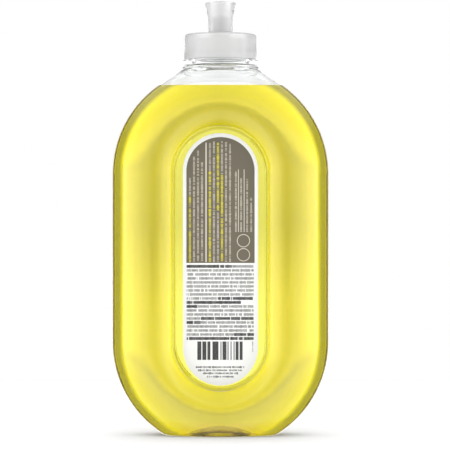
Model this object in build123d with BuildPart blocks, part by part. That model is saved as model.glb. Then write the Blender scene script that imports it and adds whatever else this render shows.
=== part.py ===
# Flat, clear bottle of floor cleaner with a label, a screw cap and a push-pull spout, standing on its base.
# Millimetres. The origin is in the middle of the base, +Z is up, X is the width and the label faces -Y.
import os
from math import acos, atan2, cos, hypot, isclose, sqrt

from build123d import *

os.makedirs("parts", exist_ok=True)

# Body: a bulging ring of stadium outline round a dish on each face
body_width = 130.0
body_depth = 46.5
arc_spacing = 101.0
base_cut = 9.5
nose_width = 26.0
wall = 0.8

# Dish: a softly rounded rim, a steep wall and a flat floor
rim_roll_radius = 15.0
rim_corner_radius = 3.0
rim_width = 11.8
dish_thickness = 17.7
dish_draft_share = 0.14
dish_corner_radius = 0.8

# Base: a flat standing ring round a push-up
base_edge_radius = 4.0
standing_end_width = 7.8
standing_side_width = 5.7
push_up_rise = 7.0

# Shoulder, which ends in a round ledge at the top of the outline
shoulder_lead = 1.5
ledge_thickness = 2.6
ledge_overhang = 0.3
ledge_edge_radius = 1.2
shoulder_blend_radius = 8.0
shoulder_tuck_share = 0.995
blend_reach_share = 0.9

# Neck
neck_radius = 18.6
neck_wall = 2.0
thread_depth = 1.0
support_ring_gap = 1.7
support_ring_overhang = 4.5
support_ring_thickness = 1.1
finish_height = 11.7
rim_edge_radius = 0.5

# Liquid
fill_drop = 12.7
liquid_clearance = 0.1

# Label
label_side_margin = 4.8
label_lower_margin = 1.7
label_upper_margin = 3.1
label_thickness = 0.15

# Cap: skirt and deck, with the chimney that carries the spout
thread_room = 1.8
skirt_wall = 2.8
skirt_draft = 0.3
skirt_clearance = 0.3
deck_thickness = 3.0
deck_edge_radius = 1.8
skirt_edge_radius = 0.4
chimney_radius = 4.9
chimney_wall = 1.2
chimney_lip = 0.15
chimney_collar_step = 1.1
chimney_collar_height = 1.8
stop_bead_height = 1.2
stop_bead_step = 0.55
plug_post_radius = 1.9
plug_tip_radius = 2.65
plug_overlap = 2.1
plug_edge_radius = 0.6
plug_reach = 1.0
spoke_count = 3
spoke_width = 1.2
spoke_height = 2.2

# Liner: a foam ring that seals the rim under the deck
liner_thickness = 1.0
liner_overlap = 1.0
liner_clearance = 0.3

# Spout: slides on the chimney, and its orifice closes on the plug
spout_wall = 1.3
spout_flare = 2.0
spout_waist_height = 6.0
spout_rim_height = 1.4
spout_rim_edge_radius = 0.45
spout_headroom = 5.35
spout_top_thickness = 3.4
spout_travel = 5.5
spout_catch_height = 1.6
slide_clearance = 0.15
plug_clearance = 0.1

# Places on the body that follow from the sizes above
body_half = body_width / 2
dish_half = dish_thickness / 2
crest_offset = body_half - nose_width
dish_radius = crest_offset - rim_width
lower_arc_height = body_half - base_cut
upper_arc_height = lower_arc_height + arc_spacing
dish_bottom = lower_arc_height - dish_radius
dish_top = upper_arc_height + dish_radius
shoulder_top_height = upper_arc_height + body_half
shoulder_end_height = shoulder_top_height - ledge_thickness
fill_height = shoulder_top_height - fill_drop
base_half_length = sqrt(body_half**2 - lower_arc_height**2)
base_half_depth = body_depth / 2 * sqrt(1 - ((lower_arc_height - crest_offset) / nose_width) ** 2)
push_up_half_length = base_half_length - standing_end_width
push_up_half_width = base_half_depth - standing_side_width

# The shoulder starts just below the point where a line from the ledge would touch the outline
ledge_radius = neck_radius + support_ring_overhang + ledge_overhang
ledge_rise = shoulder_end_height - upper_arc_height
ledge_reach = hypot(ledge_radius, ledge_rise)
touch_angle = atan2(ledge_radius, ledge_rise) + acos(body_half / ledge_reach)
shoulder_start_height = upper_arc_height + body_half * cos(touch_angle) - shoulder_lead

# Places on the neck, cap and spout
thread_root_radius = neck_radius - thread_depth
mouth_radius = thread_root_radius - neck_wall
support_ring_radius = neck_radius + support_ring_overhang
ring_bottom = shoulder_top_height + support_ring_gap
ring_top = ring_bottom + support_ring_thickness
rim_height = ring_top + finish_height
skirt_bore_radius = thread_root_radius + thread_room
skirt_bottom_radius = skirt_bore_radius + skirt_wall
skirt_top_radius = skirt_bottom_radius - skirt_draft
skirt_bottom = ring_top + skirt_clearance
deck_underside = rim_height + liner_thickness
deck_top = deck_underside + deck_thickness
chimney_bore_radius = chimney_radius - chimney_wall
collar_radius = chimney_radius + chimney_collar_step
collar_top = deck_top + chimney_collar_height
stop_bead_radius = chimney_radius + stop_bead_step
catch_bottom = collar_top + slide_clearance
catch_top = catch_bottom + spout_catch_height
bead_bottom = catch_top + spout_travel
bead_top = bead_bottom + stop_bead_height
chimney_top = bead_top + chimney_lip
spout_bottom = deck_top + slide_clearance
spout_waist_radius = collar_radius + slide_clearance + spout_wall
spout_rim_radius = spout_waist_radius + spout_flare
spout_chamber_radius = stop_bead_radius + slide_clearance
chamber_top = chimney_top + spout_headroom
spout_top = chamber_top + spout_top_thickness
plug_bottom = chamber_top - plug_overlap
plug_top = spout_top + plug_reach


def body_form(inset):
    """The closed body below the neck, with every surface set in from the outside by inset."""
    half_width = body_half - inset
    crest_depth = body_depth / 2 - inset
    nose = half_width - crest_offset
    arc_gap = upper_arc_height - lower_arc_height
    # Dish wall, from the end of the floor up to the point where it meets the roll of the rim
    floor_depth = dish_half - inset
    wall_lean = hypot(1, dish_draft_share)
    floor_end = dish_radius + inset * (wall_lean - dish_draft_share)
    roll_radius = rim_roll_radius - inset
    roll_centre = crest_depth - roll_radius
    lean_start = floor_end - dish_draft_share * floor_depth - crest_offset
    roll_rise = roll_centre - dish_draft_share * lean_start
    roll_gap = lean_start**2 + roll_centre**2 - roll_radius**2
    wall_end_depth = (roll_rise + sqrt(roll_rise**2 - wall_lean**2 * roll_gap)) / wall_lean**2
    wall_end = floor_end + dish_draft_share * (wall_end_depth - floor_depth)
    # Outline and depth of the plain body where the shoulder leaves it
    shoulder_level = shoulder_start_height - inset
    shoulder_limit = shoulder_level + blend_reach_share * (shoulder_end_height - inset - shoulder_level)
    shoulder_half = sqrt(half_width**2 - (shoulder_level - upper_arc_height) ** 2)
    nose_share = (shoulder_level - upper_arc_height - crest_offset) / nose
    shoulder_depth = crest_depth * sqrt(1 - nose_share**2)
    # Push-up: a barrel that lies along X under the base
    barrel_radius = (push_up_half_width**2 + push_up_rise**2) / (2 * push_up_rise)
    barrel_axis = push_up_rise - barrel_radius
    bow_radius = (push_up_half_length**2 + push_up_rise**2) / (2 * push_up_rise)
    bow_centre = push_up_rise - bow_radius
    barrel_half = sqrt((bow_radius + inset) ** 2 - (barrel_axis - bow_centre) ** 2)
    with BuildPart() as form:
        with BuildSketch(Plane.XY.offset(lower_arc_height)) as half_section:
            with BuildLine():
                Polyline((0, 0), (0, floor_depth), (floor_end, floor_depth), (wall_end, wall_end_depth))
                TangentArc((crest_offset, crest_depth), (wall_end, wall_end_depth), tangent=(-1, 0))
                EllipticalCenterArc((crest_offset, 0), nose, crest_depth, start_angle=0, arc_size=90)
                mirror(about=Plane.XZ)
            make_face()
            corners = half_section.vertices()
            rims = [corners.sort_by_distance((wall_end, side * wall_end_depth))[0] for side in (-1, 1)]
            fillet(rims, rim_corner_radius - inset)
            corners = half_section.vertices()
            feet = [corners.sort_by_distance((floor_end, side * floor_depth))[0] for side in (-1, 1)]
            fillet(feet, dish_corner_radius + inset)
        revolve(axis=Axis((0, 0, lower_arc_height), (0, 1, 0)), revolution_arc=180)
        extrude(half_section.sketch, amount=arc_gap)
        mirror(about=Plane.YZ)
        with BuildSketch(Plane.XY.offset(upper_arc_height)):
            add(half_section.sketch_local)
        revolve(axis=Axis((0, 0, upper_arc_height), (0, -1, 0)), revolution_arc=180)
        # Standing face
        split(bisect_by=Plane.XY.offset(inset), keep=Keep.TOP)
        fillet(form.faces().sort_by(Axis.Z)[0].edges(), base_edge_radius)
        # Shoulder, from the body's own outline up to a round ledge
        with BuildSketch(Plane.XY.offset(shoulder_level)):
            Ellipse(shoulder_half * shoulder_tuck_share, shoulder_depth * shoulder_tuck_share)
        with BuildSketch(Plane.XY.offset(shoulder_end_height - inset)):
            Circle(ledge_radius - inset)
        loft()
        above_start = form.edges().filter_by(lambda edge: edge.bounding_box().min.Z > shoulder_level)
        shoulder_edges = above_start.filter_by(lambda edge: edge.bounding_box().max.Z < shoulder_limit)
        fillet(shoulder_edges, shoulder_blend_radius + inset)
        with BuildSketch(Plane.XY.offset(shoulder_end_height - inset)):
            Circle(ledge_radius - inset)
        extrude(amount=shoulder_top_height - shoulder_end_height)
        fillet(form.faces().sort_by(Axis.Z)[-1].edges(), ledge_edge_radius)
        # Push-up
        with BuildSketch(Plane.XZ):
            with BuildLine():
                RadiusArc((-barrel_half, barrel_axis), (barrel_half, barrel_axis), bow_radius + inset)
                Line((-barrel_half, barrel_axis), (barrel_half, barrel_axis))
            make_face()
        revolve(axis=Axis((0, 0, barrel_axis), (1, 0, 0)), mode=Mode.SUBTRACT)
    return form.part


def round_edges(piece, radius):
    """The circular edges of a turned piece that have this radius."""
    circles = piece.edges().filter_by(GeomType.CIRCLE)
    return circles.filter_by(lambda edge: isclose(edge.radius, radius))


outside = body_form(0)
cavity = body_form(wall)
fill = body_form(wall + liquid_clearance)

# Blow-moulded bottle: body, neck with its support ring, and the hollow inside them
with BuildPart() as bottle:
    add(outside)
    with BuildSketch(Plane.XZ):
        with BuildLine():
            Polyline(
                (0, shoulder_end_height),
                (neck_radius, shoulder_end_height),
                (neck_radius, ring_bottom),
                (support_ring_radius, ring_bottom),
                (support_ring_radius, ring_top),
                (thread_root_radius, ring_top),
                (thread_root_radius, rim_height),
                (0, rim_height),
                close=True,
            )
        make_face()
    revolve(axis=Axis.Z)
    fillet(bottle.faces().sort_by(Axis.Z)[-1].edges(), rim_edge_radius)
    add(cavity, mode=Mode.SUBTRACT)
    with BuildSketch(Plane.XY.offset(shoulder_end_height)):
        Circle(mouth_radius)
    extrude(until=Until.LAST, mode=Mode.SUBTRACT)

# Liquid, up to the fill line
with BuildPart() as cleaning_liquid:
    add(fill)
    split(bisect_by=Plane.XY.offset(fill_height), keep=Keep.BOTTOM)

# Label on the floor of the front dish
label_bottom = dish_bottom + label_lower_margin
label_top = dish_top - label_upper_margin
with BuildPart() as back_label:
    with BuildSketch(Plane.XZ.offset(dish_half)):
        with Locations((0, (label_bottom + label_top) / 2)):
            SlotOverall(label_top - label_bottom, 2 * (dish_radius - label_side_margin), rotation=90)
    extrude(amount=label_thickness)

# Screw cap: skirt, deck and chimney in one moulding, with the plug on three spokes
with BuildPart() as screw_cap:
    with BuildSketch(Plane.XZ):
        with BuildLine():
            Polyline(
                (0, deck_underside),
                (skirt_bore_radius, deck_underside),
                (skirt_bore_radius, skirt_bottom),
                (skirt_bottom_radius, skirt_bottom),
                (skirt_top_radius, deck_top),
                (collar_radius, deck_top),
                (collar_radius, collar_top),
                (chimney_radius, collar_top),
                (chimney_radius, bead_bottom),
                (stop_bead_radius, bead_bottom),
                (chimney_radius, bead_top),
                (chimney_radius, chimney_top),
                (0, chimney_top),
                close=True,
            )
        make_face()
    revolve(axis=Axis.Z)
    fillet(round_edges(screw_cap, skirt_top_radius), deck_edge_radius)
    fillet(round_edges(screw_cap, skirt_bottom_radius), skirt_edge_radius)
    with BuildSketch(Plane.XY.offset(deck_underside)):
        Circle(chimney_bore_radius)
    extrude(until=Until.LAST, mode=Mode.SUBTRACT)
    with BuildSketch(Plane.XY.offset(chimney_top - spoke_height)):
        with PolarLocations(0, spoke_count):
            Rectangle(chimney_bore_radius + slide_clearance, spoke_width, align=(Align.MIN, Align.CENTER))
        Circle(plug_post_radius)
    extrude(amount=spoke_height)
    with BuildSketch(Plane.XY.offset(chimney_top)):
        Circle(plug_post_radius)
    extrude(amount=plug_bottom - chimney_top)
    with BuildSketch(Plane.XY.offset(plug_bottom)):
        Circle(plug_tip_radius)
    extrude(amount=plug_top - plug_bottom)
    fillet(screw_cap.faces().sort_by(Axis.Z)[-1].edges(), plug_edge_radius)

# Foam liner between the rim and the deck
with BuildPart() as cap_liner:
    with BuildSketch(Plane.XY.offset(rim_height)):
        Circle(skirt_bore_radius - liner_clearance)
        Circle(mouth_radius - liner_overlap, mode=Mode.SUBTRACT)
    extrude(amount=liner_thickness)

# Pull spout: a flared sleeve with a catch that meets the stop bead when it is pulled up
flare_start = spout_bottom + spout_waist_height
flare_end = spout_top - spout_rim_height
with BuildPart() as pull_spout:
    with BuildSketch(Plane.XZ):
        with BuildLine():
            Polyline(
                (collar_radius + slide_clearance, spout_bottom),
                (spout_waist_radius, spout_bottom),
                (spout_waist_radius, flare_start),
            )
            flare = TangentArc(
                (spout_waist_radius, flare_start), (spout_rim_radius, flare_end), tangent=(0, 1)
            )
            Polyline(
                flare @ 1,
                (spout_rim_radius, spout_top),
                (plug_tip_radius + plug_clearance, spout_top),
                (plug_tip_radius + plug_clearance, chamber_top),
                (spout_chamber_radius, chamber_top),
                (spout_chamber_radius, catch_top),
                (chimney_radius + slide_clearance, catch_top),
                (chimney_radius + slide_clearance, catch_bottom),
                (collar_radius + slide_clearance, catch_bottom),
                (collar_radius + slide_clearance, spout_bottom),
            )
        make_face()
    revolve(axis=Axis.Z)
    fillet(round_edges(pull_spout, spout_rim_radius), spout_rim_edge_radius)

pieces = {
    "bottle": bottle,
    "cleaning_liquid": cleaning_liquid,
    "back_label": back_label,
    "screw_cap": screw_cap,
    "cap_liner": cap_liner,
    "pull_spout": pull_spout,
}
for name, piece in pieces.items():
    piece.part.label = name
    export_step(piece.part, f"parts/{name}.step")
    print(f"{name}: {piece.part.volume / 1000:.2f} mL, {len(piece.solids())} solid")
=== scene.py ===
# %% [markdown]
# # A clear bottle of yellow floor cleaner
#
# The solids of the bottle, the liquid, the label, the cap, its liner and the spout come from the CAD frame, in
# metres, with +Z up and the label facing -Y. This lesson gives them their finishes and adds what is too fine for
# the solids: the print on the label, the screw threads, and the marks that a blow mould leaves.

# %% Load the frame
from math import cos, pi, sin

import bmesh
import bpy
import numpy as np
from mathutils import Euler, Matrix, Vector


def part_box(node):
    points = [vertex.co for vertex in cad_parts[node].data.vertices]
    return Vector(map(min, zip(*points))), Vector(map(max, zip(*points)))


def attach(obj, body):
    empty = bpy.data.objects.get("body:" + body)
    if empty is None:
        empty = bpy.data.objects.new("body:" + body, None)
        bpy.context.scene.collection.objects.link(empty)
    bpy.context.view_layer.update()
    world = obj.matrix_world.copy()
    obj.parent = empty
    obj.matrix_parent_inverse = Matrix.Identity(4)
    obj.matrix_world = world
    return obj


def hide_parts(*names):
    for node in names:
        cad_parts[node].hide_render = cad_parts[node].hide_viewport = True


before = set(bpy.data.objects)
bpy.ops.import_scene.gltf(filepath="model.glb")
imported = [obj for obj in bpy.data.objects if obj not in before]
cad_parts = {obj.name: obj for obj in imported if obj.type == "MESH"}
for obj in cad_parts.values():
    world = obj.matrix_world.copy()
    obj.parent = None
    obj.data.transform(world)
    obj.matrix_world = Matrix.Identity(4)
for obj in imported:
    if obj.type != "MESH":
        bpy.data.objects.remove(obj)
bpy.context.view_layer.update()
scene = bpy.context.scene
MM = 0.001
print("CAD nodes:", sorted(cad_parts))

# %% [markdown]
# ## Camera
#
# The photograph is square, was taken level, from well back, and a little to the right of the bottle's axis. A long
# lens from 1.5 m gives the same flat view. Two pixels fix the framing: the column of the bottle's axis, and the row
# where the base meets the floor.

# %% Camera
photo_pixels = 450
axis_pixel = 220.5
base_pixel = 434.6
camera_distance = 1.5
lens_length = 200
sensor_width = 36

pixel_size = camera_distance * sensor_width / lens_length / photo_pixels
camera_data = bpy.data.cameras.new("camera")
camera_data.lens = lens_length
camera_data.sensor_width = sensor_width
camera = bpy.data.objects.new("camera", camera_data)
camera.location = (
    (photo_pixels / 2 - axis_pixel) * pixel_size,
    -camera_distance,
    (base_pixel - photo_pixels / 2) * pixel_size,
)
camera.rotation_euler = (pi / 2, 0, 0)
scene.collection.objects.link(camera)
scene.camera = camera
print(f"one pixel is {pixel_size / MM:.2f} mm at the bottle")

# %% [markdown]
# ## Helpers for node trees
#
# Every finish below is a node tree. One helper adds a node, sets its inputs or links them, and returns it, so that a
# tree reads from top to bottom. Others make materials, and turn a colour as seen on a screen into the linear colour
# that shaders use.


# %% Node helpers
def put(tree, kind, inputs=None, **settings):
    """Adds a node of this kind, with values or links for its inputs."""
    node = tree.nodes.new(kind)
    for name, value in settings.items():
        setattr(node, name, value)
    for key, value in (inputs or {}).items():
        if isinstance(value, bpy.types.NodeSocket):
            tree.links.new(value, node.inputs[key])
        else:
            node.inputs[key].default_value = value
    return node


def shader_group(name, inputs, outputs):
    """A shader node group with these inputs and outputs, and the sockets of its inputs."""
    group = bpy.data.node_groups.new(name, "ShaderNodeTree")
    for socket, start in inputs.items():
        group.interface.new_socket(socket, in_out="INPUT", socket_type="NodeSocketFloat").default_value = start
    for socket in outputs:
        group.interface.new_socket(socket, in_out="OUTPUT", socket_type="NodeSocketFloat")
    print("group:", name)
    return group, put(group, "NodeGroupInput").outputs


# %% Material helpers
def screen_colour(red, green, blue):
    """A colour in screen values, 0 to 255, as linear red, green, blue and alpha."""
    shares = np.array((red, green, blue)) / 255
    linear = np.where(shares <= 0.04045, shares / 12.92, ((shares + 0.055) / 1.055) ** 2.4)
    return (*linear.tolist(), 1.0)


def new_material(name, colour):
    """A material with a Principled shader of this colour, which is returned with its tree."""
    material = bpy.data.materials.new(name)
    material.use_nodes = True
    tree = material.node_tree
    shader = tree.nodes["Principled BSDF"]
    shader.inputs["Base Color"].default_value = colour
    return material, tree, shader


def see_through(name, colour, ior, passed=1.0):
    """A new material that lets this share of the light through."""
    material, tree, shader = new_material(name, colour)
    shader.inputs["IOR"].default_value = ior
    shader.inputs["Transmission Weight"].default_value = passed
    return material, tree, shader


def set_material(piece, material):
    """Makes this the piece's only material."""
    piece.data.materials.clear()
    piece.data.materials.append(material)


# %% [markdown]
# ## Studio
#
# A pack shot like this one has a white backdrop, gaps beside it, and bright boxes of light to the left and right.
# The world draws them by the direction of the ray. Rays that the plastic bends see the backdrop and the gaps, which
# gives the dark gold edges. Rays that it mirrors see the boxes, a softer level in front, and a bright sky, which
# gives the bright bands. The camera sees plain white, and surfaces that scatter light see one plain level.
#
# The floor is white too, and keeps the shadow under the base. Bent and mirrored rays pass through it: the renderer
# leaves out the light that the bottle would throw on it, so seen through the foot it would be far too dark.

# %% World
light_bounces = 60

scene.view_settings.view_transform = "Standard"
scene.cycles.max_bounces = light_bounces
scene.cycles.transmission_bounces = light_bounces
scene.cycles.glossy_bounces = light_bounces
world = bpy.data.worlds.new("studio")
scene.world = world
world.use_nodes = True
sky_tree = world.node_tree
sky_tree.nodes.clear()
print("world:", world.name, "with up to", light_bounces, "bounces")


def ramp(value, low, high, at_low, at_high):
    """A value that goes from one level to another while the given one goes from low to high."""
    inputs = {"Value": value, "From Min": low, "From Max": high, "To Min": at_low, "To Max": at_high}
    return put(sky_tree, "ShaderNodeMapRange", inputs).outputs[0]


def blend(share, first, second):
    """The first value where the share is 0, and the second where it is 1."""
    return put(sky_tree, "ShaderNodeMix", {0: share, 2: first, 3: second}).outputs[0]


def combine(operation, *values, clamp=False):
    """One step of arithmetic."""
    inputs = dict(enumerate(values))
    return put(sky_tree, "ShaderNodeMath", inputs, operation=operation, use_clamp=clamp).outputs[0]


# %% Kinds of ray, and where they go
path = put(sky_tree, "ShaderNodeLightPath").outputs
bent = combine("ADD", path["Is Glossy Ray"], path["Is Transmission Ray"], clamp=True)
clear = combine("ADD", bent, path["Is Camera Ray"], clamp=True)
mirrored = combine("SUBTRACT", path["Is Glossy Ray"], path["Is Transmission Ray"], clamp=True)

ray = put(sky_tree, "ShaderNodeTexCoord").outputs["Generated"]
toward = put(sky_tree, "ShaderNodeSeparateXYZ", {0: ray}).outputs
sideways = combine("ABSOLUTE", toward["X"])
flat = put(sky_tree, "ShaderNodeVectorMath", {0: ray, 1: (1, 0, 1)}, operation="MULTIPLY")
off_axis = put(sky_tree, "ShaderNodeVectorMath", {0: flat.outputs[0]}, operation="LENGTH").outputs["Value"]
print("rays:", len(sky_tree.nodes), "nodes for their kinds and directions")

# %% Backdrop, and the gaps round it
backdrop_edge = 0.47
backdrop_gain = 1.6
lift_height = 0.03
lift_above, lift_below = 0.1, 0.38
gap_bent, gap_deep, gap_mirrored = 0.75, 1.8, 0.1
deep_start, deep_end = 0.7, 0.95
edge_softness = 0.06

above = ramp(toward["Z"], 0.0, lift_height, 1.0, 1.0 + lift_above)
below = ramp(toward["Z"], 0.0, -lift_height, 0.0, lift_below)
lit = combine("MULTIPLY_ADD", sideways, backdrop_gain, combine("ADD", above, below))
gap = blend(mirrored, ramp(off_axis, deep_start, deep_end, gap_bent, gap_deep), gap_mirrored)
behind = ramp(off_axis, backdrop_edge - edge_softness, backdrop_edge + edge_softness, lit, gap)
print("backdrop: edge at", backdrop_edge, "and gaps from", gap_bent, "to", gap_deep)

# %% Front, and the boxes at the sides
front_level = 0.5
sky_gain, ground_gain = 0.7, 1.1
slope_reach = 0.3
shade_start, shade_end = 0.75, 0.97
side_gain = 2.7
box_corner = 0.35
side_bent = 1.0

sky = ramp(toward["Z"], 0.0, slope_reach, front_level, front_level + sky_gain)
ground = ramp(toward["Z"], 0.0, -slope_reach, 0.0, ground_gain)
shade = ramp(toward["Z"], -shade_start, -shade_end, 1.0, 0.0)
front = combine("MULTIPLY", combine("ADD", sky, ground), shade)
corner = combine("ABSOLUTE", combine("MULTIPLY", toward["X"], toward["Z"]))
panel = ramp(corner, 0.0, box_corner, side_gain, 0.0)
box = combine("MULTIPLY_ADD", sideways, panel, front)
side = blend(mirrored, side_bent, box)
print("front: level", front_level, "and side boxes", side_gain)

# %% World output
side_edge, box_edge = 0.08, -0.02
sky_start, sky_end = 0.35, 0.65
sky_level = 1.0
plain_level = 1.3

edge = blend(mirrored, side_edge, box_edge)
edge_start = combine("ADD", edge, edge_softness)
edge_end = combine("SUBTRACT", edge, edge_softness)
beside = ramp(toward["Y"], edge_start, edge_end, 0.0, 1.0)
around = blend(beside, behind, side)
overhead = combine("MULTIPLY", mirrored, ramp(toward["Z"], sky_start, sky_end, 0.0, 1.0))
strength = blend(bent, 1.0, blend(overhead, around, sky_level))
plain = put(sky_tree, "ShaderNodeBackground", {"Color": (1, 1, 1, 1), "Strength": plain_level})
white = put(sky_tree, "ShaderNodeBackground", {"Color": (1, 1, 1, 1), "Strength": strength})
surround = put(sky_tree, "ShaderNodeMixShader", {0: clear, 1: plain.outputs[0], 2: white.outputs[0]})
put(sky_tree, "ShaderNodeOutputWorld", {"Surface": surround.outputs[0]})
print("world: backdrop, gaps and side boxes, plain level", plain_level)

# %% Floor
floor_half = 0.5
floor_white = 0.95

mesh = bpy.data.meshes.new("floor")
corners = [(x * floor_half, y * floor_half, 0) for x, y in ((-1, -1), (1, -1), (1, 1), (-1, 1))]
mesh.from_pydata(corners, [], [(0, 1, 2, 3)])
floor = bpy.data.objects.new("floor", mesh)
scene.collection.objects.link(floor)
material, tree, shader = new_material("white_floor", (floor_white, floor_white, floor_white, 1))
shader.inputs["Roughness"].default_value = 1.0
shader.inputs["Specular IOR Level"].default_value = 0.0
set_material(floor, material)
floor.visible_glossy = False
floor.visible_transmission = False
print("floor:", 2 * floor_half, "m square")

# %% [markdown]
# ## Moulded finish
#
# Blown and injected plastic is never quite even: its gloss drifts, and its wall has slow waves. One shader group
# gives both, from noise on Object coordinates, and each plastic uses it with its own values. Film, ink and foam use
# it too.

# %% Moulded finish group
finish_group, given = shader_group(
    "moulded_finish", {"Scale": 60.0, "Roughness": 0.05, "Spread": 0.02}, ("Roughness", "Height")
)
place = put(finish_group, "ShaderNodeTexCoord").outputs["Object"]
waves = put(finish_group, "ShaderNodeTexNoise", {"Vector": place, "Scale": given["Scale"], "Detail": 2.0})
centred = put(finish_group, "ShaderNodeMath", {0: waves.outputs["Fac"], 1: 0.5}, operation="SUBTRACT")
drift = put(
    finish_group,
    "ShaderNodeMath",
    {0: centred.outputs[0], 1: given["Spread"], 2: given["Roughness"]},
    operation="MULTIPLY_ADD",
)
put(finish_group, "NodeGroupOutput", {"Roughness": drift.outputs[0], "Height": waves.outputs["Fac"]})


def moulded(tree, shader, scale, roughness, spread, strength, depth):
    """Gives a shader the moulded finish: drifting gloss, and waves of this depth."""
    finish = put(tree, "ShaderNodeGroup", node_tree=finish_group)
    finish.inputs["Scale"].default_value = scale
    finish.inputs["Roughness"].default_value = roughness
    finish.inputs["Spread"].default_value = spread
    bump = put(
        tree,
        "ShaderNodeBump",
        {"Height": finish.outputs["Height"], "Strength": strength, "Distance": depth},
    )
    tree.links.new(finish.outputs["Roughness"], shader.inputs["Roughness"])
    tree.links.new(bump.outputs["Normal"], shader.inputs["Normal"])
    return bump


# %% [markdown]
# ## Bottle
#
# The bottle is blown from clear polyester, which bends light strongly. The CAD solid has its true wall, inside and
# out, so plain refraction at both faces gives the grey lines round the shoulder without any painted edge.
#
# Where liquid wets the wall, the inside face only bends light. Round the foot it is also tinted the liquid's yellow.
# That tint is painted light: it stands in for the light that crosses that corner many times. Above the liquid the
# inside face is a little duller. A second shader group adds the marks of the mould as faint ridges: its parting line,
# and a gate ring under the base.

# %% Copies that keep the surface's own normals
merge_distance = 0.0005 * MM


def merged_copy(node, cut_height=None):
    """The node's mesh as one connected mesh with the CAD surface's normals, cut along a level if one is given."""
    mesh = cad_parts[node].data.copy()
    normals = np.zeros(len(mesh.loops) * 3, np.float32)
    mesh.corner_normals.foreach_get("vector", normals)
    mesh.attributes.new("cad_normal", "FLOAT_VECTOR", "CORNER").data.foreach_set("vector", normals)
    merged = bmesh.new()
    merged.from_mesh(mesh)
    bmesh.ops.remove_doubles(merged, verts=merged.verts, dist=merge_distance)
    if cut_height is not None:
        everything = [*merged.verts, *merged.edges, *merged.faces]
        bmesh.ops.bisect_plane(merged, geom=everything, plane_co=(0, 0, cut_height), plane_no=(0, 0, 1))
        bmesh.ops.triangulate(merged, faces=merged.faces)
    merged.to_mesh(mesh)
    merged.free()
    return mesh


def stored_normals(mesh):
    """The CAD normals that a merged copy carries, one row for each corner."""
    normals = np.zeros(len(mesh.loops) * 3, np.float32)
    mesh.attributes["cad_normal"].data.foreach_get("vector", normals)
    return normals.reshape(-1, 3)


def restore_normals(mesh):
    """Makes the stored CAD normals the mesh's own."""
    normals = stored_normals(mesh)
    mesh.attributes.remove(mesh.attributes["cad_normal"])
    mesh.shade_smooth()
    mesh.normals_split_custom_set(normals.tolist())


# %% Mould marks group
marks_group, given = shader_group(
    "mould_marks", {"Line Width": 0.2 * MM, "Gate Radius": 3 * MM, "Gate Height": 8 * MM}, ("Height",)
)
place = put(marks_group, "ShaderNodeTexCoord").outputs["Object"]
apart = put(marks_group, "ShaderNodeSeparateXYZ", {0: place}).outputs


def reckon(operation, *values):
    """One step of arithmetic in the group."""
    return put(marks_group, "ShaderNodeMath", dict(enumerate(values)), operation=operation).outputs[0]


def ridge_at(distance):
    """A soft ridge, 1 where the distance is zero and 0 from one line width on."""
    size = reckon("ABSOLUTE", distance)
    inputs = {"Value": size, "From Max": given["Line Width"], "To Min": 1.0, "To Max": 0.0}
    return put(marks_group, "ShaderNodeMapRange", inputs, interpolation_type="SMOOTHSTEP").outputs[0]


flat = put(marks_group, "ShaderNodeCombineXYZ", {"X": apart["X"], "Y": apart["Y"]})
reach = put(marks_group, "ShaderNodeVectorMath", {0: flat.outputs[0]}, operation="LENGTH").outputs["Value"]
off_ring = reckon("SUBTRACT", reach, given["Gate Radius"])
low = reckon("LESS_THAN", apart["Z"], given["Gate Height"])
gate = reckon("MULTIPLY", ridge_at(off_ring), low)
put(marks_group, "NodeGroupOutput", {"Height": reckon("MAXIMUM", ridge_at(apart["Y"]), gate)})

# %% Bottle plastic
plastic_ior = 1.57
mark_strength = 0.5
mark_height = 0.1 * MM

clear_plastic, tree, shader = see_through("clear_plastic", screen_colour(249, 250, 250), plastic_ior)
waves = moulded(tree, shader, scale=35.0, roughness=0.02, spread=0.02, strength=0.05, depth=0.2 * MM)
marks = put(tree, "ShaderNodeGroup", node_tree=marks_group)
marked = put(
    tree,
    "ShaderNodeBump",
    {
        "Height": marks.outputs["Height"],
        "Strength": mark_strength,
        "Distance": mark_height,
        "Normal": waves.outputs["Normal"],
    },
)
tree.links.new(marked.outputs["Normal"], shader.inputs["Normal"])

dry_plastic, tree, shader = see_through("dry_plastic", screen_colour(232, 234, 234), plastic_ior)
moulded(tree, shader, scale=600.0, roughness=0.05, spread=0.05, strength=0.1, depth=0.02 * MM)


def wetted(name, kind, colour):
    """A material for the inside of the wall where liquid wets it."""
    material = bpy.data.materials.new(name)
    material.use_nodes = True
    tree = material.node_tree
    tree.nodes.clear()
    bend = put(tree, kind, {"Color": colour, "Roughness": 0.0, "IOR": plastic_ior})
    put(tree, "ShaderNodeOutputMaterial", {"Surface": bend.outputs[0]})
    return material


wetted_plastic = wetted("wetted_plastic", "ShaderNodeBsdfRefraction", (1, 1, 1, 1))
# The clear wall round the foot is tinted yellow here: painted light from the liquid, not a colour of the plastic.
foot_painted_liquid_light = wetted("foot_painted_liquid_light", "ShaderNodeBsdfGlass", screen_colour(255, 250, 80))
print("plastics:", [plastic.name for plastic in (clear_plastic, wetted_plastic, foot_painted_liquid_light, dry_plastic)])

# %% Bottle shell
fill_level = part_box("cleaning_liquid")[1].z
wetted_reach = 0.3 * MM
foot_height = 9.0 * MM
inward_share = 0.3

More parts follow.
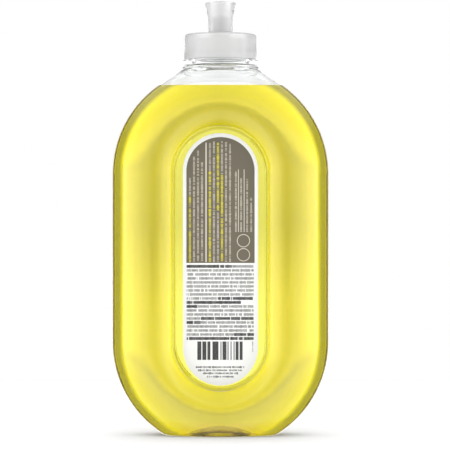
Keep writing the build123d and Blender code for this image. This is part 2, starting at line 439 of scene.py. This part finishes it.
shell_mesh = merged_copy("bottle", cut_height=fill_level)
restore_normals(shell_mesh)
liquid_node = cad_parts["cleaning_liquid"]
shell_mesh.materials.clear()
for plastic in (clear_plastic, wetted_plastic, foot_painted_liquid_light, dry_plastic):
    shell_mesh.materials.append(plastic)
for face in shell_mesh.polygons:
    near = liquid_node.closest_point_on_mesh(face.center, distance=wetted_reach)[0]
    inward = -face.normal.xy.dot(face.center.xy) > inward_share * face.center.xy.length
    if near and face.center.z < fill_level:
        # Wetted faces below the foot height get the painted yellow light.
        face.material_index = 1 if face.center.z > foot_height else 2
    elif inward and face.center.z > fill_level:
        face.material_index = 3
shell = bpy.data.objects.new("bottle_shell", shell_mesh)
scene.collection.objects.link(shell)
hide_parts("bottle")
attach(shell, "bottle")
wet_faces = sum(face.material_index in (1, 2) for face in shell_mesh.polygons)
print("bottle_shell:", len(shell_mesh.polygons), "faces,", wet_faces, "of them wetted")

# %% [markdown]
# ## Liquid
#
# On the real bottle the liquid wets the wall. A thin gap of air between two glassy solids would mirror light that
# really passes straight through, so the liquid's surface is set a little into the wall, where both refractions
# still bend light the right way. The yellow comes from absorption, so it deepens with the length of liquid that
# light crosses, as in the photograph.

# %% Liquid mesh
wall_overlap = 0.5 * MM
level_tolerance = 0.01 * MM
upward = 0.9

liquid_mesh = merged_copy("cleaning_liquid")
normals = stored_normals(liquid_mesh)
points = np.zeros(len(liquid_mesh.vertices) * 3, np.float32)
liquid_mesh.vertices.foreach_get("co", points)
points = points.reshape(-1, 3)
corners = np.zeros(len(liquid_mesh.loops), np.int32)
liquid_mesh.loops.foreach_get("vertex_index", corners)
on_top = points[:, 2] > fill_level - level_tolerance
faces_up = normals[:, 2] > upward
used = ~(on_top[corners] & faces_up)
push = np.zeros_like(points)
np.add.at(push, corners[used], normals[used])
push[on_top, 2] = 0.0
push /= np.maximum(np.linalg.norm(push, axis=1, keepdims=True), level_tolerance)
liquid_mesh.vertices.foreach_set("co", (points + push * wall_overlap).ravel())
restore_normals(liquid_mesh)
liquid = bpy.data.objects.new("liquid", liquid_mesh)
scene.collection.objects.link(liquid)
print("liquid:", len(liquid_mesh.vertices), "points, level", round(fill_level / MM, 1), "mm")

# %% Liquid colour
liquid_ior = 1.34
liquid_colour = (0.920, 0.892, 0.015, 1)
liquid_density = 132.0

yellow_liquid, tree, shader = see_through("yellow_liquid", (1, 1, 1, 1), liquid_ior)
shader.inputs["Roughness"].default_value = 0.0
depth_colour = put(tree, "ShaderNodeVolumeAbsorption", {"Color": liquid_colour, "Density": liquid_density})
tree.links.new(depth_colour.outputs["Volume"], tree.nodes["Material Output"].inputs["Volume"])
set_material(liquid, yellow_liquid)
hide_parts("cleaning_liquid")
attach(liquid, "bottle")
print("liquid:", yellow_liquid.name)

# %% [markdown]
# ## Cap, spout and liner
#
# Cap and spout are natural polypropylene: milky, satin, and thin enough for what is inside to show as soft lines. A
# rough transmission does that. The liner is white foam with fine cells.

# %% Milky plastics
milky_ior = 1.49

for node, roughness, passed in (("screw_cap", 0.22, 0.6), ("pull_spout", 0.16, 0.68)):
    material, tree, shader = see_through("milky_" + node, screen_colour(251, 251, 251), milky_ior, passed)
    moulded(tree, shader, scale=400.0, roughness=roughness, spread=0.08, strength=0.1, depth=0.05 * MM)
    set_material(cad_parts[node], material)
    print(node + ":", material.name)
milky_cap = bpy.data.materials["milky_screw_cap"]

# %% Liner foam
foam, tree, shader = new_material("liner_foam", screen_colour(240, 240, 238))
moulded(tree, shader, scale=2500.0, roughness=0.8, spread=0.2, strength=0.5, depth=0.1 * MM)
set_material(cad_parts["cap_liner"], foam)
print("cap_liner:", foam.name)

# %% [markdown]
# ## Label
#
# The label is white film on the floor of the front dish, with a grey-brown field on its upper half. The back of the
# film glows faintly, which stands in for light that reaches it through the liquid: the renderer doesn't follow such
# light to a matt surface.

# %% Film and inks
back_glow = 0.6


def printed(name, colour, roughness=0.5):
    """A satin film or ink with slightly uneven gloss, and its shader."""
    material, tree, shader = new_material(name, colour)
    moulded(tree, shader, scale=900.0, roughness=roughness, spread=0.1, strength=0.1, depth=0.02 * MM)
    return material, shader


film = printed("label_film", screen_colour(250, 250, 248), roughness=0.45)[0]
field_ink = printed("field_ink", screen_colour(105, 98, 82))[0]
pale_ink = printed("pale_ink", screen_colour(219, 212, 196))[0]
yellow_ink = printed("yellow_ink", screen_colour(226, 214, 20))[0]
dark_ink = printed("dark_ink", screen_colour(46, 46, 46))[0]
film_back, shader = printed("film_back", screen_colour(245, 245, 240))
shader.inputs["Emission Color"].default_value = screen_colour(250, 248, 230)
shader.inputs["Emission Strength"].default_value = back_glow

set_material(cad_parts["back_label"], film)
label_low, label_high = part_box("back_label")
label_face = label_low.y
film_step = 0.02 * MM
print("label:", [round(value / MM, 1) for value in (*label_low, *label_high)])


# %% Plain meshes as pieces
def joined(name, meshes, material, body):
    """One piece made of all these meshes, on a body of the frame."""
    whole = bmesh.new()
    for mesh in meshes:
        whole.from_mesh(mesh)
    mesh = bpy.data.meshes.new(name)
    whole.to_mesh(mesh)
    whole.free()
    piece = bpy.data.objects.new(name, mesh)
    scene.collection.objects.link(piece)
    set_material(piece, material)
    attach(piece, body)
    print(name + ":", len(mesh.polygons), "faces")


# %% Field and back of the film
plate_sides = 64
field_half, field_bottom, field_top = 20.35 * MM, 103.1 * MM, 178.2 * MM
label_middle = (label_low.z + label_high.z) / 2


def plate(half, low, high, face, thickness):
    """A thin plate across X with its outer face at this Y, square below and round above, or round at both ends."""
    arc = [pi * step / plate_sides for step in range(plate_sides + 1)]
    edge = [(half * cos(turn), high - half + half * sin(turn)) for turn in arc]
    if low is None:
        edge += [(-half * cos(turn), 2 * label_middle - high + half - half * sin(turn)) for turn in arc]
    else:
        edge += [(-half, low), (half, low)]
    mesh = bpy.data.meshes.new("plate")
    solid = bmesh.new()
    outer = solid.faces.new([solid.verts.new((x, face, z)) for x, z in edge])
    moved = bmesh.ops.extrude_face_region(solid, geom=[outer])["geom"]
    points = [point for point in moved if isinstance(point, bmesh.types.BMVert)]
    bmesh.ops.translate(solid, verts=points, vec=(0, thickness, 0))
    bmesh.ops.recalc_face_normals(solid, faces=solid.faces)
    solid.to_mesh(mesh)
    solid.free()
    return mesh


field = plate(field_half, field_bottom, field_top, label_face - film_step, film_step)
joined("label_field", [field], field_ink, "bottle")
back = plate(label_high.x - film_step, None, label_high.z - film_step, label_high.y, film_step)
joined("label_back", [back], film_back, "bottle")

# %% [markdown]
# ## Print
#
# Every block of small print becomes rows of plain strokes of uneven width, which read as text from a distance and
# spell nothing. One Geometry Nodes tree makes them all: the pale and yellow columns that run up the field, the dark
# lines below it, and the bars of the code. Places are millimetres on the label, measured in the photograph.


# %% Geometry trees
def node_tree(name, inputs):
    """A Geometry Nodes tree with these named inputs, and the sockets of its inputs."""
    tree = bpy.data.node_groups.new(name, "GeometryNodeTree")
    tree.interface.new_socket("Geometry", in_out="OUTPUT", socket_type="NodeSocketGeometry")
    for socket, kind in inputs.items():
        tree.interface.new_socket(socket, in_out="INPUT", socket_type="NodeSocket" + kind)
    return tree, put(tree, "NodeGroupInput").outputs


def close_tree(tree, shape, material, **where):
    """Places what a tree has made, makes it real, gives it its material and sends it out."""
    placed = put(tree, "GeometryNodeTransform", {"Geometry": shape, **where})
    real = put(tree, "GeometryNodeRealizeInstances", {0: placed.outputs[0]})
    done = put(tree, "GeometryNodeSetMaterial", {"Geometry": real.outputs[0], "Material": material})
    put(tree, "NodeGroupOutput", {"Geometry": done.outputs[0]})
    print("tree:", tree.name)


def made_by(tree, values):
    """The plain mesh that a tree makes from values for its named inputs."""
    piece = bpy.data.objects.new(tree.name, bpy.data.meshes.new(tree.name))
    scene.collection.objects.link(piece)
    modifier = piece.modifiers.new(tree.name, "NODES")
    modifier.node_group = tree
    for item in tree.interface.items_tree:
        if item.in_out == "INPUT":
            modifier[item.identifier] = values[item.name]
    ready = piece.evaluated_get(bpy.context.evaluated_depsgraph_get())
    mesh = bpy.data.meshes.new_from_object(ready)
    piece.modifiers.remove(modifier)
    bpy.data.objects.remove(piece)
    return mesh


# %% Tree for rows of strokes
stroke_tree, given = node_tree(
    "stroke_rows",
    {
        "Strokes": "Int",
        "Pitch": "Float",
        "Width": "Float",
        "Height": "Float",
        "Thickness": "Float",
        "Spread": "Float",
        "Kept Share": "Float",
        "Turn": "Rotation",
        "Place": "Vector",
        "Seed": "Int",
        "Ink": "Material",
    },
)
step = put(stroke_tree, "ShaderNodeCombineXYZ", {"X": given["Pitch"]})
row = put(stroke_tree, "GeometryNodeMeshLine", {"Count": given["Strokes"], "Offset": step.outputs[0]})
size = put(stroke_tree, "ShaderNodeCombineXYZ", {"X": given["Width"], "Y": given["Thickness"], "Z": given["Height"]})
stroke = put(stroke_tree, "GeometryNodeMeshCube", {"Size": size.outputs[0]})
least = put(stroke_tree, "ShaderNodeMath", {0: 1.0, 1: given["Spread"]}, operation="SUBTRACT")
wide = put(stroke_tree, "FunctionNodeRandomValue", {2: least.outputs[0], 3: 1.0, "Seed": given["Seed"]})
tall = put(stroke_tree, "FunctionNodeRandomValue", {2: least.outputs[0], 3: 1.0, "Seed": given["Strokes"]})
uneven = put(stroke_tree, "ShaderNodeCombineXYZ", {"X": wide.outputs[1], "Y": 1.0, "Z": tall.outputs[1]})
kept = put(
    stroke_tree,
    "FunctionNodeRandomValue",
    {"Probability": given["Kept Share"], "Seed": given["Seed"]},
    data_type="BOOLEAN",
)
strokes = put(
    stroke_tree,
    "GeometryNodeInstanceOnPoints",
    {
        "Points": row.outputs[0],
        "Selection": kept.outputs[3],
        "Instance": stroke.outputs[0],
        "Scale": uneven.outputs[0],
    },
)
close_tree(stroke_tree, strokes.outputs[0], given["Ink"], Translation=given["Place"], Rotation=given["Turn"])

# %% Lines of strokes
upright = (0, -pi / 2, 0)
level = (0, 0, 0)


def line_of_print(material, start, end, height, pitch=0.5, cover=0.7, spread=0.5, kept=0.88, seed=1):
    """Strokes from start to end, both (x, z) in millimetres, along X or up Z."""
    (x, z), (far_x, far_z) = start, end
    length = far_x - x + far_z - z
    first = pitch / 2
    layers = 2 if material in (pale_ink, yellow_ink) else 1
    depth = (label_face - layers * film_step) / MM
    place = (x + (first if far_x > x else 0), depth, z + (first if far_z > z else 0))
    return made_by(
        stroke_tree,
        {
            "Strokes": max(1, int(length / pitch)),
            "Pitch": pitch * MM,
            "Width": pitch * cover * MM,
            "Height": height * MM,
            "Thickness": 2 * film_step,
            "Spread": spread,
            "Kept Share": kept,
            "Turn": Euler(upright if far_z > z else level),
            "Place": Vector(place) * MM,
            "Seed": seed,
            "Ink": material,
        },
    )


# %% Columns that run up the field
column_bottom = 103.7
side_bottom = 121.6
pale_columns = [
    (-18.2, 144.0, 154.1),
    (-15.8, column_bottom, 167.5),
    (-13.4, column_bottom, 170.5),
    (-11.0, column_bottom, 163.7),
    (-6.3, 158.0, 174.7),
    (-3.9, column_bottom, 175.9),
    (-1.5, column_bottom, 133.9),
    (0.9, 156.2, 175.9),
    (3.3, column_bottom, 175.3),
    (5.7, column_bottom, 174.7),
    (9.2, side_bottom, 158.0),
    (12.3, side_bottom, 153.8),
    (15.9, side_bottom, 153.8),
    (18.3, side_bottom, 142.1),
]
yellow_columns = [
    (-18.2, column_bottom, 144.0),
    (-6.3, column_bottom, 158.0),
    (-1.5, 133.9, 175.3),
    (0.9, column_bottom, 156.2),
]
rules = [(-8.6, column_bottom, 174.9, 0.7), (10.7, side_bottom, 158.9, 0.4), (14.1, side_bottom, 158.9, 0.4)]
unbroken = {"cover": 1.0, "spread": 0.0, "kept": 1.0}


def columns(material, places, **weight):
    """A column of print for each place (x, low, high)."""
    return [
        line_of_print(material, (x, low), (x, high), seed=seed, **weight)
        for seed, (x, low, high) in enumerate(places)
    ]


pale_lines = columns(pale_ink, pale_columns, height=1.35, cover=0.6)
pale_lines += [
    line_of_print(pale_ink, (x, low), (x, high), line, pitch=high - low, **unbroken) for x, low, high, line in rules
]
yellow_lines = columns(yellow_ink, yellow_columns, height=1.55, cover=0.85)
joined("print_yellow", yellow_lines, yellow_ink, "bottle")

# %% Rings beside the columns
ring_radius, ring_line = 3.7 * MM, 0.22 * MM
ring_x = 13.7 * MM
ring_heights = (116.4 * MM, 108.0 * MM)
ring_flatness = 0.3

ring_tree, given = node_tree(
    "plain_ring",
    {"Radius": "Float", "Line": "Float", "Turn": "Rotation", "Place": "Vector", "Ink": "Material"},
)
circle = put(ring_tree, "GeometryNodeCurvePrimitiveCircle", {"Resolution": 48, "Radius": given["Radius"]})
nib = put(ring_tree, "GeometryNodeCurvePrimitiveCircle", {"Resolution": 8, "Radius": given["Line"]})
drawn = put(ring_tree, "GeometryNodeCurveToMesh", {"Curve": circle.outputs[0], "Profile Curve": nib.outputs[0]})
close_tree(
    ring_tree,
    drawn.outputs[0],
    given["Ink"],
    Translation=given["Place"],
    Rotation=given["Turn"],
    Scale=(1, 1, ring_flatness),
)
rings = [
    made_by(
        ring_tree,
        {
            "Radius": ring_radius,
            "Line": ring_line,
            "Turn": Euler((pi / 2, 0, 0)),
            "Place": Vector((ring_x, label_face - film_step, height)),
            "Ink": pale_ink,
        },
    )
    for height in ring_heights
]
joined("print_pale", pale_lines + rings, pale_ink, "bottle")

# %% Dark lines and bars below the field
lines_left, lines_right = -20.2, 20.0
first_line = 101.1
line_pitch = 2.39
line_count = 19
bold_spans = {
    0: (0, 0.68),
    8: (0.46, 1),
    9: (0, 0.81),
    10: (0, 0.17),
    13: (0.21, 1),
    14: (0, 0.2),
    17: (0.7, 1),
    18: (0, 1),
}
short_lines = {9}
bold_print = {"height": 1.95, "cover": 1.0, "spread": 0.2, "kept": 0.95}
plain_print = {"height": 1.8, "cover": 0.7, "spread": 0.3, "kept": 0.9}
foot_lines = ((41.0, 14.7), (39.1, 13.5), (37.3, 10.5), (35.3, 8.2))
foot_print = {"height": 1.35, "cover": 0.85}
note_x, note_bottom, note_top = 19.2, 50.0, 56.6
note_print = {"height": 0.8, "cover": 0.6}
code_left, code_right, code_middle = -14.4, 14.0, 50.8
code_bars = {"height": 11.0, "pitch": 0.6, "cover": 0.95, "spread": 0.0, "kept": 0.7}

dark_lines = []
for line in range(line_count):
    z = first_line - line * line_pitch
    bold_start, bold_end = bold_spans.get(line, (0, 0))
    spans = [(bold_start, bold_end, bold_print), (0, bold_start, plain_print)]
    if line not in short_lines:
        spans.append((bold_end, 1, plain_print))
    for start, end, weight in spans:
        if end > start:
            left, right = (lines_left + share * (lines_right - lines_left) for share in (start, end))
            dark_lines.append(line_of_print(dark_ink, (left, z), (right, z), seed=line, **weight))
for z, half in foot_lines:
    dark_lines.append(line_of_print(dark_ink, (-half, z), (half, z), seed=int(half), **foot_print))
dark_lines.append(line_of_print(dark_ink, (note_x, note_bottom), (note_x, note_top), **note_print))
dark_lines.append(line_of_print(dark_ink, (code_left, code_middle), (code_right, code_middle), **code_bars))
joined("print_dark", dark_lines, dark_ink, "bottle")

# %% [markdown]
# ## Threads
#
# The solids leave room for the screw thread, and a spiral with tapered ends fills it: one ridge on the neck, and one
# inside the cap that lies half a pitch below it. Both climb the same way, so the cap's ridge follows the neck's when
# it turns.

# %% Thread tree
taper_length = 0.06
taper_end = 0.2

thread_tree, given = node_tree(
    "thread_ridge",
    {"Radius": "Float", "Pitch": "Float", "Turns": "Float", "Ridge": "Float", "Start": "Vector", "Plastic": "Material"},
)
climb = put(thread_tree, "ShaderNodeMath", {0: given["Pitch"], 1: given["Turns"]}, operation="MULTIPLY")
spiral = put(
    thread_tree,
    "GeometryNodeCurveSpiral",
    {
        "Resolution": 96,
        "Rotations": given["Turns"],
        "Start Radius": given["Radius"],
        "End Radius": given["Radius"],
        "Height": climb.outputs[0],
        "Reverse": True,
    },
)
along = put(thread_tree, "GeometryNodeSplineParameter")
taper = put(thread_tree, "ShaderNodeFloatCurve", {"Value": along.outputs["Factor"]})
curve = taper.mapping.curves[0]
curve.points[0].location = (0, taper_end)
curve.points[1].location = (1, taper_end)
curve.points.new(taper_length, 1.0)
curve.points.new(1 - taper_length, 1.0)
taper.mapping.update()
profile = put(thread_tree, "GeometryNodeCurvePrimitiveCircle", {"Resolution": 12, "Radius": given["Ridge"]})
ridge = put(
    thread_tree,
    "GeometryNodeCurveToMesh",
    {"Curve": spiral.outputs[0], "Profile Curve": profile.outputs[0], "Scale": taper.outputs[0], "Fill Caps": True},
)
close_tree(thread_tree, ridge.outputs[0], given["Plastic"], Translation=given["Start"])

# %% Threads of neck and cap
thread_pitch = 4.2 * MM
thread_turns = 1.5

for name, radius, ridge_size, bottom, material, slot, body in (
    ("neck_thread", 17.9, 0.75, 228.2, clear_plastic, "clear_bottle", "bottle"),
    ("cap_thread", 19.35, 0.7, 226.1, milky_cap, "translucent_cap", "cap"),
):
    mesh = made_by(
        thread_tree,
        {
            "Radius": radius * MM,
            "Pitch": thread_pitch,
            "Turns": thread_turns,
            "Ridge": ridge_size * MM,
            "Start": Vector((0, 0, bottom * MM)),
            "Plastic": material,
        },
    )
    mesh.shade_smooth()
    joined(name, [mesh], material, body)
